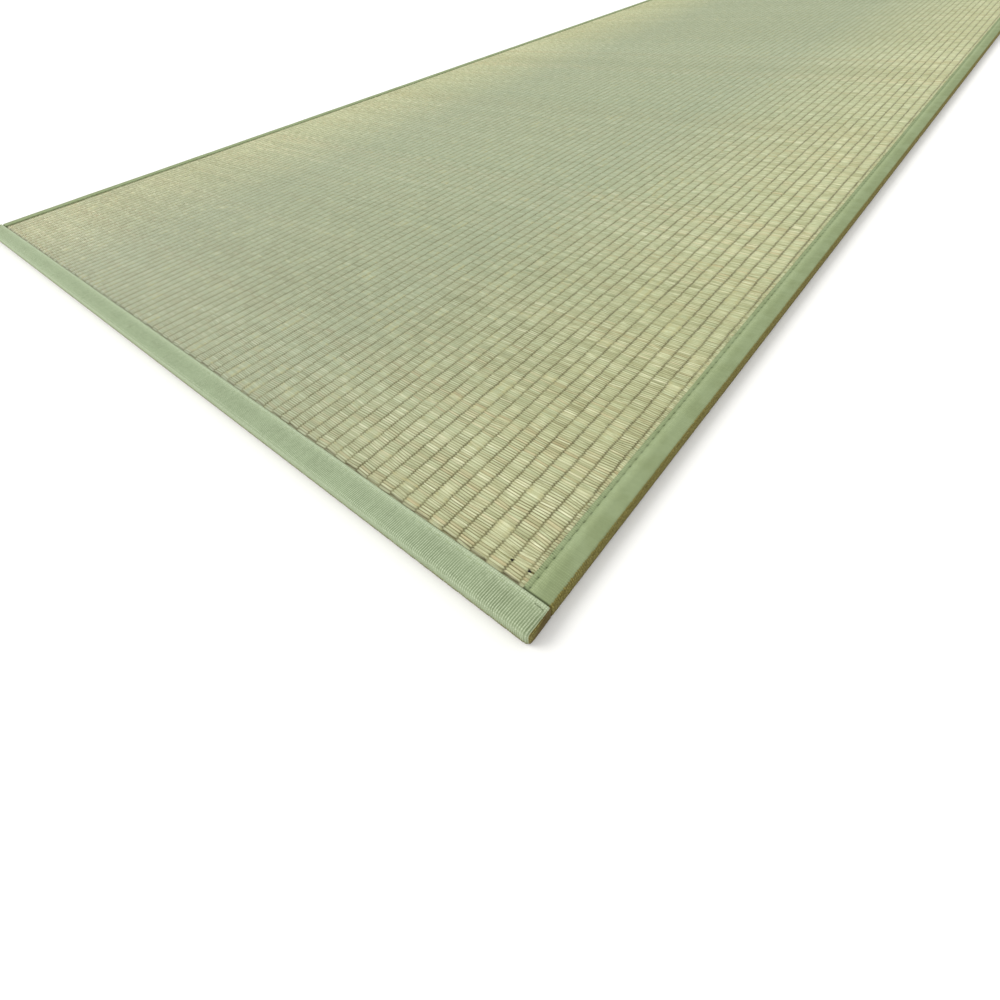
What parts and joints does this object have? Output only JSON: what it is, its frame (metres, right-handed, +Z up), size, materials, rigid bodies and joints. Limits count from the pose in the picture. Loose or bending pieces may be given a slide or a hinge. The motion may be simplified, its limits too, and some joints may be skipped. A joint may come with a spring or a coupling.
{
  "type": "tatami mat",
  "caption": "Thin flat rush mat with a ribbed woven face and cloth tape bound round its four edges, for laying on a floor.",
  "frame": {"origin": "middle of the underside, on the floor", "axes": "+Z up, +Y along the mat's length and its woven ribs, +X across it"},
  "size_m": [0.88, 1.76, 0.0128],
  "materials": {
    "rush": "woven soft rush, dry and slightly satin",
    "binding_tape": "ribbed cloth tape, matt with a faint sheen"
  },
  "bodies": {
    "root": {"rush_panel": "rush", "binding_front": "binding_tape", "binding_back": "binding_tape", "binding_left": "binding_tape", "binding_right": "binding_tape"}
  },
  "joints": []
}
